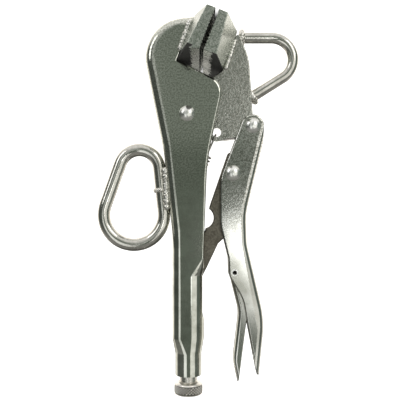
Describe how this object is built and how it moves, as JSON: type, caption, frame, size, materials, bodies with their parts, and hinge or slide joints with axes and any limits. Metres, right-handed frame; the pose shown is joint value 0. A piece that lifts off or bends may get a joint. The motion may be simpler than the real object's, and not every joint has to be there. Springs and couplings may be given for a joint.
{
  "type": "locking pliers",
  "caption": "Over-centre locking pliers with wide toothed jaw pads, a knurled adjusting screw, a release lever and pull rings welded to the handle and the jaw for body-shop pulling.",
  "frame": {"origin": "middle of the jaws' mouth, on the tool's mid-plane", "axes": "+X towards the lever, +Y along the handle towards the jaws, +Z along the rivets"},
  "size_m": [0.1264, 0.2364, 0.079],
  "materials": {
    "plated_sheet": "smooth nickel plating on pressed steel",
    "grained_sheet": "satin nickel plating with a fine blasted grain",
    "plated_forging": "nickel plating over a grainy forged surface",
    "plated_pad": "nickel plating over milled and sawn steel",
    "plated_rod": "bright nickel plating on drawn rod",
    "weld_bead": "rippled weld metal, plated",
    "bright_rivet": "bright domed rivet",
    "dark_link": "dark plated forging",
    "spring_steel": "drawn spring wire",
    "screw_steel": "plated threaded shank",
    "knurled_steel": "diamond knurling, plated"
  },
  "bodies": {
    "handle": {"fixed_handle": "plated_sheet", "fixed_jaw_pad": "plated_pad", "fixed_pad_welds": "weld_bead", "jaw_pivot_rivet": "bright_rivet", "handle_ring": "plated_rod", "handle_ring_welds": "weld_bead", "handle_ring_seam": "weld_bead", "return_spring": "spring_steel"},
    "jaw": {"moving_jaw": "plated_forging", "moving_jaw_pad": "plated_pad", "moving_pad_welds": "weld_bead", "jaw_ring": "plated_rod", "jaw_ring_welds": "weld_bead", "lever_pivot_rivet": "bright_rivet"},
    "lever": {"lever_handle": "grained_sheet", "link_pivot_rivet": "bright_rivet", "release_pin": "bright_rivet"},
    "link": {"toggle_link": "dark_link"},
    "release": {"release_lever": "grained_sheet"},
    "screw": {"adjusting_screw": "screw_steel"},
    "knob": {"adjusting_knob": "knurled_steel"}
  },
  "joints": [
    {"name": "jaw_hinge", "type": "hinge", "parent": "handle", "child": "jaw", "pos_m": [-0.0134, -0.0442, 0], "axis": [0, 0, -1], "range_deg": [0, 12], "deforming": ["return_spring"]},
    {"name": "lever_hinge", "type": "hinge", "parent": "jaw", "child": "lever", "pos_m": [0.0272, -0.0515, 0], "axis": [0, 0, 1], "range_deg": [0, 52]},
    {"name": "link_hinge", "type": "hinge", "parent": "lever", "child": "link", "pos_m": [0.0149, -0.081, 0], "axis": [0, 0, -1], "range_deg": [0, 58]},
    {"name": "release_hinge", "type": "hinge", "parent": "lever", "child": "release", "pos_m": [0.0161, -0.1425, 0], "axis": [0, 0, 1], "range_deg": [0, 8]},
    {"name": "screw_travel", "type": "slide", "parent": "handle", "child": "screw", "axis": [0, -1, 0], "range_m": [0, 0.02]},
    {"name": "knob_turn", "type": "hinge", "parent": "screw", "child": "knob", "pos_m": [-0.0127, -0.2114, 0], "axis": [0, -1, 0], "range_deg": [0, 4800]}
  ],
  "couplings": [
    {"joint": "jaw_hinge", "follows": "lever_hinge", "ratio": 0.23076},
    {"joint": "link_hinge", "follows": "lever_hinge", "ratio": 1.1154},
    {"joint": "knob_turn", "follows": "screw_travel", "rad_per_m": 4188.8}
  ]
}
